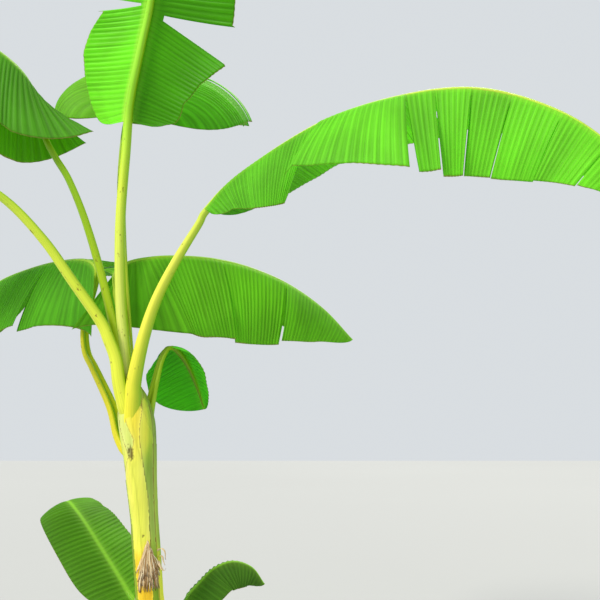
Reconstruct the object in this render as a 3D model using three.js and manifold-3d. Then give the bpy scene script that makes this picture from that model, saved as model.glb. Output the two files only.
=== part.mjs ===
// A banana plant with a young sucker at its foot, in millimetres, +Z up.
// The origin is the middle of the flat cut under the trunk, at ground level; +Y is away from the viewer.
//
// Every leaf stands in an upright plane that leaves the trunk at its own bearing.  Its route is
// a few stations, [out, up] or [out, up, aside], for the stalk and then for the rib of the blade.

import * as THREE from "three";
import Module from "manifold-3d";

const wasm = await Module();
wasm.setup();

// Trunk: heights and radii from the cut at the ground to the fork, and the sweep of its middle line.
const TRUNK_RINGS = [
  [0, 88], [40, 82], [120, 75], [300, 67], [560, 58], [870, 51], [1158, 53],
  [1300, 60], [1400, 69], [1480, 76], [1560, 78], [1620, 64], [1665, 44], [1690, 20],
];
const TRUNK_LEAN = 0.062;
const TRUNK_SWEEP = 27.5e-6;
const TRUNK_SIDES = 20;

const TOUCH_GAP = 0.35;       // kept between pieces that touch
const STALK_SIDES = 8;
const STALK_FLATTEN = 0.7;    // the upper side of a stalk is its flat, channelled side
const BLADE_COLUMNS = [0, 0.14, 0.55, 1];  // shares of the half width at which a blade has corners
const BLADE_THICKNESS = 0.0115;  // share of a blade piece's length
const RIB_THICKNESS = 1.0;    // of the rib at its foot, as a share of the stalk's last radius
const THIN_BELOW = 0.3;       // share of the half width below which a blade gets thinner, at its tip
const STEP = 0.004;           // share of a blade over which its slope is taken
const TEAR_START = 1;         // the column from which a tear runs to the margin
const TEAR_HALVES = [0.003, 0.013];  // half of a tear's opening at the rib and at the margin, as shares of the rib
const WIDEST = 0.36;          // where along the rib a blade is widest
const CORNER_END = 0.16;      // share of the rib over which a lobe at its base runs out
const LEAN = 0.2;             // how far a vein runs towards the tip for each millimetre it runs outwards
const NORMAL_WITHIN = 1;    // share of the half width beyond which a blade's thickness keeps its direction
const ROW_FROM = 3;          // the second row of a blade lies at least this far from its base

// Lists with two entries give the half on the right of the bearing first, then the half on the left.
// hang: 1 where the halves hang straight down, whichever way the rib runs.
// corner: where the lobe at the base ends, [out, up, aside] from the end of the stalk.
// fold: degrees that a half hangs below level at the rib, spread evenly along the rib.
// bend: degrees more that it hangs at the margin.
// tears: shares of the rib at which a half is torn to the rib.
// slant: the lean of the veins from the first to the last of each segment between the tears.
// spread: how wide a half is against the plain outline, as [share of the rib, factor] points.
// sag: degrees more that each segment hangs.
// split: share of the rib at which the blade is parted into two nodes.
const LEAVES = [
  {
    name: "right",
    bearing: -20,
    foot: 1450,
    stalk: [[-15, 1490, -30], [-5, 1615, -50], [-5, 1690, -50], [20, 1850, -40], [65, 2015, -25],
      [145, 2175, -15], [240, 2335], [260, 2390]],
    rib: [[420, 2520], [760, 2685], [1080, 2740], [1370, 2715], [1630, 2580], [1800, 2400], [1890, 2200]],
    stalkRadius: [44, 17],
    halfWidth: 345,
    fold: [[62, 72, 82, 80], [0, -5, -5, 10]],
    bend: [[20, 25, 20, 20], [15, 20, 30, 30]],
    tears: [[0.3, 0.475, 0.53, 0.6, 0.675, 0.77, 0.87], [0.34, 0.5, 0.74]],
    slant: [
      [[0, -0.35, -0.8], [-0.8, -0.2, 0.05], [0.1, 0.1], [0.1, 0.1], [0.1, 0.15], [0.15, 0.2], [0.2, 0.2], [0.2, 0.3]],
      [[0.2, 0.2], [0.2, 0.2], [0.2, 0.2], [0.2, 0.2]]],
    spread: [
      [[0, 0.6], [0.05, 0.55], [0.15, 0.7], [0.299, 0.86], [0.301, 0.56], [0.38, 0.85], [0.475, 1.12], [0.7, 1.12], [1, 1]],
      [[0, 1], [1, 1]]],
    sag: [[0, -18, -6, 0, 5, 0, -6, -10], [0, 4, -3, 5]],
    split: 0.53,
  },
  {
    name: "left",
    bearing: 205,
    foot: 1450,
    stalk: [[40, 1540, 10], [80, 1675, 10], [100, 1775, 10], [130, 1850, 5], [170, 1930], [285, 2080],
      [405, 2235], [560, 2380], [755, 2475]],
    rib: [[960, 2540], [1230, 2560], [1500, 2460], [1700, 2280], [1840, 2060]],
    stalkRadius: [40, 18],
    halfWidth: 300,
    fold: [[35, 45], [35, 45]],
    bend: [[40, 50], [40, 50]],
    tears: [[0.28, 0.62], [0.4, 0.7]],
    split: 0.62,
  },
  {
    name: "centre",
    bearing: -86,
    foot: 1600,
    stalk: [[0, 1640, -20], [15, 1800, -45], [20, 1980, -70], [30, 2190, -85], [40, 2400, -90],
      [55, 2655, -80], [70, 2780, -75]],
    rib: [[90, 2870, -65], [150, 3070, -20], [220, 3255, 25], [330, 3470, 60], [520, 3700, 90],
      [760, 3840, 110], [960, 3850, 120]],
    stalkRadius: [27, 19],
    halfWidth: 360,
    fold: [[-50, -20, 10], [-5, 10, 20]],
    bend: [[10, 20, 30], [16, 30, 30]],
    tears: [[0.32, 0.62], [0.3, 0.7]],
    slant: [[[-0.02, -0.26], [0, 0.04], [0.1, 0.2]], [[-0.2, -0.38], [0.03, 0.03], [0.1, 0.2]]],
    spread: [
      [[0, 0.9], [0.12, 0.85], [0.2, 0.84], [0.26, 0.75], [0.319, 0.58], [0.321, 0.8], [0.4, 1], [1, 1]],
      [[0, 0.8], [0.12, 0.7], [0.2, 0.84], [0.299, 1.1], [0.301, 1], [1, 1]]],
    sag: [[0, 0, 0], [0, 0, 0]],
    split: 0.62,
  },
  {
    name: "upper_left",
    bearing: 190,
    foot: 1550,
    stalk: [[40, 1640], [75, 1815], [155, 2105], [240, 2355], [315, 2525], [375, 2620], [425, 2710],
      [465, 2850]],
    rib: [[510, 2960], [590, 3050], [710, 3125], [880, 3170], [1070, 3160], [1270, 3070], [1450, 2920],
      [1580, 2730]],
    stalkRadius: [30, 17],
    halfWidth: 330,
    hang: 1,
    corner: [[-180, -95, -115], [-245, -145, 85]],
    fold: [[58, 58, 40, 30, 30], [68, 70, 30, 20, 30]],
    bend: [[25, 25, 35, 40, 40], [25, 25, 40, 50, 60]],
    tears: [[0.44, 0.72], [0.28, 0.58]],
    slant: [[[-0.1, 0.1], [0.2, 0.2], [0.2, 0.3]], [[-0.15, -0.05], [0.15, 0.2], [0.2, 0.3]]],
    spread: [[[0, 1.15], [0.2, 1.35], [0.44, 1.35], [1, 1]], [[0, 1.1], [0.28, 1.1], [1, 1]]],
    sag: [[0, 0, 4], [0, -10, 0]],
    split: 0.58,
  },
  {
    name: "low_left",
    bearing: 150,
    foot: 1400,
    stalk: [[40, 1390], [110, 1475], [165, 1595], [280, 1755], [335, 1830], [355, 1925], [340, 2030],
      [310, 2130], [305, 2200]],
    rib: [[380, 2250], [560, 2265], [760, 2255], [975, 2220], [1180, 2135], [1340, 2000], [1430, 1850]],
    stalkRadius: [32, 16],
    halfWidth: 355,
    corner: [[-20, 65, -160], [-40, -315, -5]],
    fold: [[-10, -30, 10], [62, 62, 55]],
    bend: [[30, 20, 30], [22, 22, 30]],
    tears: [[0.5], [0.25, 0.64]],
    sag: [[0, 0], [2, 0, -5]],
    split: 0.5,
  },
  {
    name: "back_right",
    bearing: 25,
    foot: 1500,
    stalk: [[-25, 1540, 20], [-35, 1650, 45], [-50, 1790, 75], [-75, 1960, 100], [-100, 2070, 115],
      [-105, 2150, 120]],
    rib: [[-55, 2210, 120], [50, 2245, 120], [170, 2262, 115], [330, 2265, 105], [500, 2240, 95],
      [690, 2175, 80], [870, 2065, 65], [1015, 1925, 50]],
    stalkRadius: [28, 16],
    halfWidth: 350,
    corner: [[-125, -280, 80], [-30, 40, 90]],
    fold: [[68, 60, 55], [10, 10, 10]],
    bend: [[18, 30, 30], [30, 30, 30]],
    tears: [[0.4, 0.66], [0.5]],
    spread: [[[0, 1.2], [0.4, 1.15], [1, 1]], [[0, 1], [1, 1]]],
    sag: [[0, 2, -4], [0, 0]],
    split: 0.5,
  },
  {
    name: "low_right",
    bearing: 60,
    foot: 1400,
    stalk: [[5, 1380, -10], [15, 1460, -5], [50, 1620], [75, 1700, 5], [105, 1790, 5], [145, 1845, 0]],
    rib: [[200, 1840, -5], [265, 1780, -10], [330, 1690, -10], [385, 1590, -10]],
    stalkRadius: [34, 13],
    halfWidth: 210,
    fold: [[10, 10], [10, 10]],
    bend: [[30, 30], [30, 30]],
    tears: [[], []],
    spread: [[[0, 0.6], [1, 0.5]], [[0, 0.9], [1, 1.2]]],
  },
  {
    name: "back",
    bearing: 97,
    foot: 1600,
    stalk: [[10, 1640, 20], [30, 1880, 50], [45, 2240, 90], [50, 2540, 110], [60, 2760, 110],
      [90, 2900, 100]],
    rib: [[170, 3070, 85], [300, 3205, 60], [470, 3310, 30], [680, 3385, 0], [900, 3420, -20],
      [1120, 3400, -30]],
    stalkRadius: [26, 16],
    halfWidth: 540,
    hang: 1,
    fold: [[-25, -15], [-25, -15]],
    bend: [[100, 80], [100, 80]],
    tears: [[0.2, 0.34, 0.5, 0.68], [0.26, 0.42, 0.6]],
    spread: [[[0, 1.12], [0.5, 1.12], [0.7, 1], [1, 0.9]], [[0, 1], [1, 1]]],
    sag: [[0, 2, -1, 2, 0], [0, 3, -2, 0]],
    split: 0.5,
  },
];

// Sucker: a young plant behind the foot of the trunk.
const SUCKER_ROOT = [-20, 150];
const SUCKER_RINGS = [[0, 38], [120, 33], [300, 28], [450, 24], [560, 18]];
const SUCKER_LEAVES = [
  {
    name: "sucker_left",
    bearing: 150,
    root: SUCKER_ROOT,
    stalk: [[5, 470], [30, 600], [95, 720], [210, 810]],
    rib: [[300, 895], [420, 1005], [520, 1095], [610, 1150, -15], [700, 1170, -55], [790, 1150, -110],
      [870, 1090, -170]],
    stalkRadius: [16, 9],
    halfWidth: 165,
    fold: [[-25, -10], [22, 5]],
    bend: [[10, 30], [30, 50]],
    tears: [[], []],
  },
  {
    name: "sucker_right",
    bearing: 20,
    root: SUCKER_ROOT,
    stalk: [[0, 470], [10, 620], [25, 740], [50, 830]],
    rib: [[110, 895], [170, 945], [250, 965], [330, 935], [385, 865]],
    stalkRadius: [14, 8],
    halfWidth: 120,
    fold: [[40, 40], [5, 5]],
    bend: [[30, 50], [30, 50]],
    tears: [[], []],
  },
];

// Dry remnant of an old sheath, wrapped on the front of the trunk.
const REMNANT_HEIGHTS = [872, 905, 960, 1020, 1068];
const REMNANT_HALF_ANGLES = [34, 44, 46, 34, 12];
const REMNANT_BEARING = -78;
const REMNANT_THICKNESS = 4;
const REMNANT_CLEARANCE = 1.6;
const REMNANT_CELLS = 8;

const COLOURS = { trunk: 0xbfc243, stalk: 0xc4d23c, blade: 0x4fae2b, remnant: 0x8a6a48 };

function finish(colour) {
  return new THREE.MeshStandardMaterial({ color: colour, roughness: 0.55, metalness: 0 });
}

function trunkMiddle(z) {
  return new THREE.Vector3(-(TRUNK_LEAN * z + TRUNK_SWEEP * z * z), 0, z);
}

/** A number in -1..1 that is always the same for one leaf, half and segment. */
function chance(a, b, c) {
  const x = Math.sin(a * 12.9898 + b * 78.233 + c * 37.719) * 43758.5453;
  return 2 * (x - Math.floor(x)) - 1;
}

/** Value at share u of a list whose values are spread evenly from 0 to 1. */
function along(values, u) {
  const last = values.length - 1;
  const k = Math.min(Math.floor(u * last), last - 1);
  return THREE.MathUtils.lerp(values[k], values[k + 1], u * last - k);
}

/** Value at u on straight lines through [place, value] points. */
function through(points, u) {
  const next = Math.max(points.findIndex(([place]) => u <= place), 1);
  const [[start, low], [end, high]] = points.slice(next - 1, next + 1);
  return THREE.MathUtils.mapLinear(u, start, end, low, high);
}

/** A closed body as a geometry, from its corners and triangles. */
function geometryOf(points, triangles) {
  const geometry = new THREE.BufferGeometry();
  geometry.setAttribute("position", new THREE.Float32BufferAttribute(points.flatMap((p) => p.toArray()), 3));
  geometry.setIndex(triangles);
  return geometry;
}

function solidOf(geometry) {
  return new wasm.Manifold(new wasm.Mesh({
    numProp: 3,
    vertProperties: new Float32Array(geometry.getAttribute("position").array),
    triVerts: new Uint32Array(geometry.getIndex().array),
  }));
}

/** The largest body of a solid, as a geometry. */
function largest(solid) {
  const body = solid.decompose().reduce((a, b) => (a.volume() > b.volume() ? a : b));
  const mesh = body.getMesh();
  const geometry = new THREE.BufferGeometry();
  geometry.setAttribute("position", new THREE.Float32BufferAttribute(mesh.vertProperties, 3));
  geometry.setIndex([...mesh.triVerts]);
  return geometry;
}

/** A body through rings of equal count, closed by a fan at each end. */
function loft(rings) {
  const sides = rings[0].length;
  const points = rings.flat();
  const triangles = [];
  for (let i = 0; i < rings.length - 1; i += 1) {
    for (let j = 0; j < sides; j += 1) {
      const a = i * sides + j;
      const b = i * sides + (j + 1) % sides;
      triangles.push(a, b, b + sides, a, b + sides, a + sides);
    }
  }
  for (const [ring, first, turned] of [[rings[0], 0, true], [rings.at(-1), (rings.length - 1) * sides, false]]) {
    const middle = ring.reduce((sum, p) => sum.add(p), new THREE.Vector3()).divideScalar(sides);
    const hub = points.push(middle) - 1;
    for (let j = 0; j < sides; j += 1) {
      const a = first + j;
      const b = first + (j + 1) % sides;
      triangles.push(...(turned ? [b, a, hub] : [a, b, hub]));
    }
  }
  return geometryOf(points, triangles);
}

/** A closed slab between two sheets of corners, both given as rows, in which only the kept cells are filled. */
function slab(upper, lower, kept = () => true) {
  const width = upper[0].length;
  const under = upper.length * width;
  const triangles = [];
  const quad = (a, b, c, d) => triangles.push(a, b, c, a, c, d);
  const filled = (i, j) => i >= 0 && i < upper.length - 1 && j >= 0 && j < width - 1 && kept(i, j);
  for (let i = 0; i < upper.length - 1; i += 1) {
    for (let j = 0; j < width - 1; j += 1) {
      if (!filled(i, j)) {
        continue;
      }
      const a = i * width + j;
      const [b, c, d] = [a + width, a + width + 1, a + 1];
      quad(a, b, c, d);
      quad(under + a, under + d, under + c, under + b);
      if (!filled(i, j - 1)) quad(a, under + a, under + b, b);
      if (!filled(i + 1, j)) quad(b, under + b, under + c, c);
      if (!filled(i, j + 1)) quad(c, under + c, under + d, d);
      if (!filled(i - 1, j)) quad(under + d, under + a, a, d);
    }
  }
  return geometryOf([...upper.flat(), ...lower.flat()], triangles);
}

/** The same slab, put together from the hull of each cell, so that a tight fold can't cut through itself. */
function foldedSlab(upper, lower, kept) {
  const cells = [];
  for (let i = 0; i < upper.length - 1; i += 1) {
    for (let j = 0; j < upper[0].length - 1; j += 1) {
      if (kept(i, j)) {
        const corners = [upper, lower].flatMap((rows) => [
          rows[i][j], rows[i][j + 1], rows[i + 1][j + 1], rows[i + 1][j]]);
        cells.push(wasm.Manifold.hull(corners.map((p) => p.toArray())));
      }
    }
  }
  return wasm.Manifold.union(cells);
}

/** The curve through a leaf's stations, with the share of its length at which the blade starts. */
function routeOf(leaf) {
  const bearing = THREE.MathUtils.degToRad(leaf.bearing);
  const out = new THREE.Vector3(Math.cos(bearing), Math.sin(bearing), 0);
  const aside = new THREE.Vector3(-Math.sin(bearing), Math.cos(bearing), 0);
  const origin = leaf.root ? new THREE.Vector3(...leaf.root, 0) : trunkMiddle(leaf.foot).setZ(0);
  const points = [...leaf.stalk, ...leaf.rib].map(([reach, up, side = 0]) => (
    origin.clone().addScaledVector(out, reach).addScaledVector(aside, side).setZ(up)));
  const curve = new THREE.CatmullRomCurve3(points, false, "catmullrom", 0.5);
  const steps = 40;
  curve.arcLengthDivisions = steps * (points.length - 1);
  const lengths = curve.getLengths();
  const neck = lengths[steps * (leaf.stalk.length - 1)] / lengths.at(-1);
  return { curve, out, aside, neck, neckPoint: curve.getPointAt(neck), ribLength: lengths.at(-1) * (1 - neck) };
}

/** Place, direction, level cross direction and upper side at a share of a leaf's whole curve. */
function frameAt(route, share) {
  const at = route.curve.getPointAt(share);
  const tangent = route.curve.getTangentAt(share);
  const across = route.aside.clone().addScaledVector(tangent, -tangent.dot(route.aside)).normalize();
  return { at, tangent, across, upper: tangent.clone().cross(across) };
}

/** A tapering stalk with a flatter upper side; grown by a gap to cut its neighbours clear of it. */
function stalkBody(leaf, route, gap = 0) {
  const rings = [];
  const steps = leaf.stalk.length * 2;
  for (let i = 0; i <= steps; i += 1) {
    const { at, tangent, across, upper } = frameAt(route, (i / steps) * route.neck);
    at.addScaledVector(tangent, i === steps ? gap : 0);
    const taper = (i / steps) ** 0.6;
    const radius = THREE.MathUtils.lerp(leaf.stalkRadius[0], leaf.stalkRadius[1], taper) + gap;
    const ring = [];
    for (let k = 0; k < STALK_SIDES; k += 1) {
      const angle = (k / STALK_SIDES) * 2 * Math.PI;
      const rise = Math.sin(angle) * (Math.sin(angle) > 0 ? STALK_FLATTEN : 1);
      ring.push(at.clone().addScaledVector(across, Math.cos(angle) * radius)
        .addScaledVector(upper, rise * radius));
    }
    rings.push(ring);
  }
  return loft(rings);
}

/** Half width of a blade as a share of its widest: a blunt base and a tapering tip. */
function outline(u) {
  if (u < WIDEST) {
    return (1 - (1 - u / WIDEST) ** 4) ** 0.35;
  }
  return Math.max(1 - ((u - WIDEST) / (1 - WIDEST)) ** 2.3, 0) ** 0.75;
}

/**
 * Point of a blade at share u of its rib and share t of its half width, side -1 or 1, on the surface of
 * the segment that holds the share home.
 */
function bladePoint(leaf, route, home, u, t, side) {
  const half = side < 0 ? 0 : 1;
  const segment = leaf.tears[half].filter((tear) => tear < home).length;
  const loose = leaf.tears[half].length ? chance(leaf.bearing, half, segment) : 0;
  const sag = leaf.sag ? leaf.sag[half][segment] : 5 * loose;
  const { at, tangent, across, upper } = frameAt(route, route.neck + u * (1 - route.neck));
  const wide = leaf.spread ? through(leaf.spread[half], home) : 1;
  const reach = leaf.halfWidth * outline(u) * wide * t * (1 - 0.06 * Math.abs(loose));
  const start = THREE.MathUtils.degToRad(along(leaf.fold[half], u) + sag);
  const end = start + THREE.MathUtils.degToRad(along(leaf.bend[half], u) + 8 * loose) * t;
  const middle = (start + end) / 2;
  const level = (Math.cos(start) + 4 * Math.cos(middle) + Math.cos(end)) / 6;
  const drop = (Math.sin(start) + 4 * Math.sin(middle) + Math.sin(end)) / 6;
  const ends = [0, ...leaf.tears[half], 1];
  const part = (home - ends[segment]) / (ends[segment + 1] - ends[segment]);
  const slant = leaf.slant ? along(leaf.slant[half][segment], part) : LEAN;
  const above = upper.lerp(new THREE.Vector3(0, 0, 1), leaf.hang ?? 0);
  const offset = tangent.multiplyScalar(slant * reach)
    .addScaledVector(across, side * level * reach)
    .addScaledVector(above, -drop * reach);
  if (leaf.corner) {
    const [out, up, aside] = leaf.corner[half];
    const corner = route.neckPoint.clone().addScaledVector(route.out, out).addScaledVector(route.aside, aside);
    corner.z += up;
    offset.lerp(corner.sub(at).multiplyScalar(t), 1 - THREE.MathUtils.smoothstep(u, 0, CORNER_END));
  }
  return at.add(offset);
}

/**
 * The rows of a blade, from its base to its tip.  A tear is two rows, turn -1 and 1 beside its share of
 * the rib, which part towards the margin on the torn half.
 */
function rowsOf(leaf, ribLength) {
  const starts = [0.012, 0.045].filter((share) => share * ribLength > ROW_FROM);
  const ends = [0.0005, ...starts, 0.94, 0.985];
  const plain = [0.12, 0.2, 0.3, 0.4, 0.5, 0.6, 0.7, 0.8, 0.88];
  const kept = plain.filter((u) => leaf.tears.flat().every((tear) => Math.abs(tear - u) > 0.035));
  const tears = leaf.tears.flatMap((shares, half) => (
    shares.flatMap((share) => [-1, 1].map((turn) => ({ share, turn, half })))));
  return [...[...ends, ...kept].map((share) => ({ share, turn: 0 })), ...tears]
    .sort((a, b) => a.share + a.turn * TEAR_HALVES[0] - b.share - b.turn * TEAR_HALVES[0]);
}

/** Upper and lower corner of a blade in one row at column k, which is negative on the right of the bearing. */
function bladeCorners(leaf, route, row, k, sheet) {
  const side = k < 0 ? -1 : 1;
  const t = BLADE_COLUMNS[Math.abs(k)];
  const onTear = row.half === (side < 0 ? 0 : 1);
  const u = row.share + row.turn * (onTear ? THREE.MathUtils.lerp(...TEAR_HALVES, t) : TEAR_HALVES[0]);
  const home = row.share + row.turn * TEAR_HALVES[0];
  const point = (place, share, toSide = side) => bladePoint(leaf, route, home, place, share, toSide);
  const inner = Math.min(t, NORMAL_WITHIN);
  const alongRib = point(Math.min(u + STEP, 1), inner).sub(point(Math.max(u - STEP, 0), inner));
  const across = k === 0
    ? point(u, STEP, 1).sub(point(u, STEP, -1))
    : point(u, t + STEP).sub(point(u, t - STEP)).multiplyScalar(side);
  const normal = alongRib.cross(across).normalize();
  const thin = sheet * THREE.MathUtils.clamp(outline(u) / THIN_BELOW, 0.4, 1);
  const rib = Math.max(RIB_THICKNESS * leaf.stalkRadius[1], sheet);
  const thickness = k === 0 ? THREE.MathUtils.lerp(rib, thin, u) : thin;
  return [1, -1].map((face) => point(u, t).addScaledVector(normal, face * thickness / 2));
}

/** The one or two closed slabs of a blade, parted at the leaf's split. */
function bladeBodies(leaf, route) {
  const rows = rowsOf(leaf, route.ribLength);
  const sheet = BLADE_THICKNESS * route.ribLength * (leaf.split ? Math.max(leaf.split, 1 - leaf.split) : 1);
  const last = BLADE_COLUMNS.length - 1;
  const columns = Array.from({ length: 2 * last + 1 }, (_, j) => j - last);
  const corners = rows.map((row) => columns.map((k) => bladeCorners(leaf, route, row, k, sheet)));
  const [upper, lower] = [0, 1].map((face) => corners.map((row) => row.map((pair) => pair[face])));
  const torn = (i, j) => {
    const inTear = rows[i].turn === -1 && rows[i].half === (j < last ? 0 : 1);
    return inTear && Math.min(Math.abs(columns[j]), Math.abs(columns[j + 1])) >= TEAR_START;
  };
  if (!leaf.split) {
    return [["whole", foldedSlab(upper, lower, (i, j) => !torn(i, j))]];
  }
  const cut = rows.findIndex((row) => row.share === leaf.split);
  const shift = frameAt(route, route.neck + leaf.split * (1 - route.neck)).tangent.multiplyScalar(4 * TOUCH_GAP);
  const inner = (sheetRows) => sheetRows.slice(0, cut + 1);
  const outer = (sheetRows) => [sheetRows[cut].map((p) => p.clone().add(shift)), ...sheetRows.slice(cut + 1)];
  return [
    ["inner", foldedSlab(inner(upper), inner(lower), (i, j) => !torn(i, j))],
    ["outer", solidOf(slab(outer(upper), outer(lower), (i, j) => !torn(i + cut, j)))],
  ];
}

const plant = new THREE.Group();
plant.name = "banana_plant";

function place(name, geometry, colour) {
  const mesh = new THREE.Mesh(geometry, finish(colour));
  mesh.name = name;
  plant.add(mesh);
}

function stemBody(rings, middle, sides, gap = 0) {
  return loft(rings.map(([z, radius]) => {
    const ring = [];
    for (let k = 0; k < sides; k += 1) {
      const angle = (k / sides) * 2 * Math.PI;
      ring.push(middle(z).add(new THREE.Vector3(
        Math.cos(angle) * (radius + gap), Math.sin(angle) * (radius + gap), z === rings.at(-1)[0] ? gap : 0)));
    }
    return ring;
  }));
}

/** Builds the stalks of one stem, each cut clear of the stem and of the stalks before it, then the blades. */
function addLeaves(leaves, stemSolid) {
  let taken = stemSolid;
  const routes = leaves.map(routeOf);
  leaves.forEach((leaf, i) => {
    place(`stalk_${leaf.name}`, largest(solidOf(stalkBody(leaf, routes[i])).subtract(taken)), COLOURS.stalk);
    taken = taken.add(solidOf(stalkBody(leaf, routes[i], TOUCH_GAP)));
  });
  leaves.forEach((leaf, i) => {
    for (const [part, solid] of bladeBodies(leaf, routes[i])) {
      place(`blade_${leaf.name}_${part}`, largest(solid.subtract(taken)), COLOURS.blade);
    }
  });
}

place("trunk", stemBody(TRUNK_RINGS, trunkMiddle, TRUNK_SIDES), COLOURS.trunk);
addLeaves(LEAVES, solidOf(stemBody(TRUNK_RINGS, trunkMiddle, TRUNK_SIDES, TOUCH_GAP)));

const remnantFaces = [0, REMNANT_THICKNESS].map((outwards) => REMNANT_HEIGHTS.map((z, i) => {
  const row = [];
  const above = TRUNK_RINGS.findIndex((ring) => ring[0] >= z);
  const [[lowZ, lowRadius], [highZ, highRadius]] = TRUNK_RINGS.slice(above - 1, above + 1);
  const radius = THREE.MathUtils.mapLinear(z, lowZ, highZ, lowRadius, highRadius) + REMNANT_CLEARANCE + outwards;
  for (let k = 0; k <= REMNANT_CELLS; k += 1) {
    const turn = REMNANT_BEARING + REMNANT_HALF_ANGLES[i] * (2 * k / REMNANT_CELLS - 1);
    const angle = THREE.MathUtils.degToRad(turn);
    row.push(trunkMiddle(z).add(new THREE.Vector3(Math.cos(angle) * radius, Math.sin(angle) * radius, 0)));
  }
  return row;
}));
place("remnant", slab(...remnantFaces), COLOURS.remnant);

const suckerMiddle = (z) => new THREE.Vector3(...SUCKER_ROOT, z);
place("sucker_stem", stemBody(SUCKER_RINGS, suckerMiddle, 12), COLOURS.stalk);
addLeaves(SUCKER_LEAVES, solidOf(stemBody(SUCKER_RINGS, suckerMiddle, 12, TOUCH_GAP)));

export default plant;
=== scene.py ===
import math

import bmesh
import bpy
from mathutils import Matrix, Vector, noise


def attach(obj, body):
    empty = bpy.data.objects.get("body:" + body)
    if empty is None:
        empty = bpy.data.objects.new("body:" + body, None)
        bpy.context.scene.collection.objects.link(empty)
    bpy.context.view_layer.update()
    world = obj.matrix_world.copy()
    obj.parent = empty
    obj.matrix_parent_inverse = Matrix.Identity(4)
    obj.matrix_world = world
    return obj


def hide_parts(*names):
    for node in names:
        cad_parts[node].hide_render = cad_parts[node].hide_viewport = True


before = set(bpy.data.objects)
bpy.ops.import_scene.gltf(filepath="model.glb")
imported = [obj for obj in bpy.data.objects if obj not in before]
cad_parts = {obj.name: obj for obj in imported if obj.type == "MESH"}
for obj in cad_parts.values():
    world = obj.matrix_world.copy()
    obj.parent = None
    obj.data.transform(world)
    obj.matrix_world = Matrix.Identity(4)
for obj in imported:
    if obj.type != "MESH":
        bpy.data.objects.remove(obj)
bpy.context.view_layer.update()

# Camera, floor and light
# The view is from standing height, tilted up into the crown, on a pale floor under soft studio light.
# A broad key light stands at the front left; a lamp high behind the plant shines through its leaves.
# Places and the floor's size are in metres here; all sizes in the other sections are in millimetres.
EYE = (0.490, -2.600, 1.500)
TILT_UP = 11.4
LENS = 38.58
SENSOR = 36
FLOOR_SIZE = 60
FLOOR_COLOURS = ("#aeb2b5", "#b2b6b9")
SKY_COLOUR = "#e9eef2"
SKY_STRENGTH = 0.85
# Name, direction that it comes from, spread in degrees, strength and colour of each lamp.
LAMPS = [
    ("key", (-4.0, -3.6, 4.4), 14, 2.3, "#fff6e6"),
    ("back", (2.0, 4.0, 6.5), 30, 1.9, "#fff4dc"),
]


def linear(code):
    """An sRGB hex colour as linear red, green, blue and alpha."""
    parts = [int(code[i:i + 2], 16) / 255 for i in (1, 3, 5)]
    return tuple(p / 12.92 if p <= 0.04045 else ((p + 0.055) / 1.055) ** 2.4 for p in parts) + (1,)


def add_node(tree, kind, inputs=None, stops=None, **settings):
    """Adds a node with its settings, fills or links its inputs, and gives a colour ramp its stops.

    A new ramp has two stops, which the first two of the list take over, so the last one comes second.
    """
    made = tree.nodes.new(kind)
    for key, value in settings.items():
        setattr(made, key, value)
    for key, value in (inputs or {}).items():
        if isinstance(value, bpy.types.NodeSocket):
            tree.links.new(value, made.inputs[key])
        else:
            made.inputs[key].default_value = value
    for i, (place, colour) in enumerate(stops or []):
        ramp = made.color_ramp.elements
        stop = ramp[i] if i < 2 else ramp.new(place)
        stop.position = place
        stop.color = linear(colour) if isinstance(colour, str) else (colour, colour, colour, 1)
    return made


def new_material(name):
    """An empty node material with its output."""
    material = bpy.data.materials.new(name)
    material.use_nodes = True
    tree = material.node_tree
    tree.nodes.clear()
    return material, tree, add_node(tree, "ShaderNodeOutputMaterial")


def painted_floor():
    """Matt floor paint, rolled on: an even pale surface with no gloss."""
    material, tree, output = new_material("matt floor paint")
    grain = add_node(tree, "ShaderNodeTexNoise", {"Scale": 3.0, "Detail": 4.0})
    tint = add_node(tree, "ShaderNodeValToRGB", {"Fac": grain.outputs["Fac"]},
                    stops=[(0.3, FLOOR_COLOURS[0]), (0.7, FLOOR_COLOURS[1])])
    coat = add_node(tree, "ShaderNodeBsdfPrincipled", {"Base Color": tint.outputs["Color"], "Roughness": 0.9})
    tree.links.new(coat.outputs["BSDF"], output.inputs["Surface"])
    return material


floor_form = bmesh.new()
bmesh.ops.create_grid(floor_form, x_segments=1, y_segments=1, size=FLOOR_SIZE / 2)
floor_mesh = bpy.data.meshes.new("floor")
floor_form.to_mesh(floor_mesh)
floor_mesh.materials.append(painted_floor())
floor = bpy.data.objects.new("floor", floor_mesh)
bpy.context.scene.collection.objects.link(floor)

for lamp_name, lamp_place, lamp_spread, lamp_power, lamp_colour in LAMPS:
    lamp_data = bpy.data.lights.new(lamp_name, "SUN")
    lamp_data.angle = math.radians(lamp_spread)
    lamp_data.energy = lamp_power
    lamp_data.color = linear(lamp_colour)[:3]
    lamp = bpy.data.objects.new(lamp_name, lamp_data)
    lamp.location = lamp_place
    lamp.rotation_euler = (-Vector(lamp_place)).to_track_quat("-Z", "Y").to_euler()
    bpy.context.scene.collection.objects.link(lamp)

sky = bpy.data.worlds.new("studio")
sky.use_nodes = True
sky.node_tree.nodes["Background"].inputs["Color"].default_value = linear(SKY_COLOUR)
sky.node_tree.nodes["Background"].inputs["Strength"].default_value = SKY_STRENGTH
bpy.context.scene.world = sky
bpy.context.scene.view_settings.view_transform = "Standard"

camera_data = bpy.data.cameras.new("view")
camera_data.sensor_width = SENSOR
camera_data.lens = LENS
camera = bpy.data.objects.new("view", camera_data)
camera.location = EYE
camera.rotation_euler = (math.radians(90 + TILT_UP), 0, 0)
bpy.context.scene.collection.objects.link(camera)
bpy.context.scene.camera = camera

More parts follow.
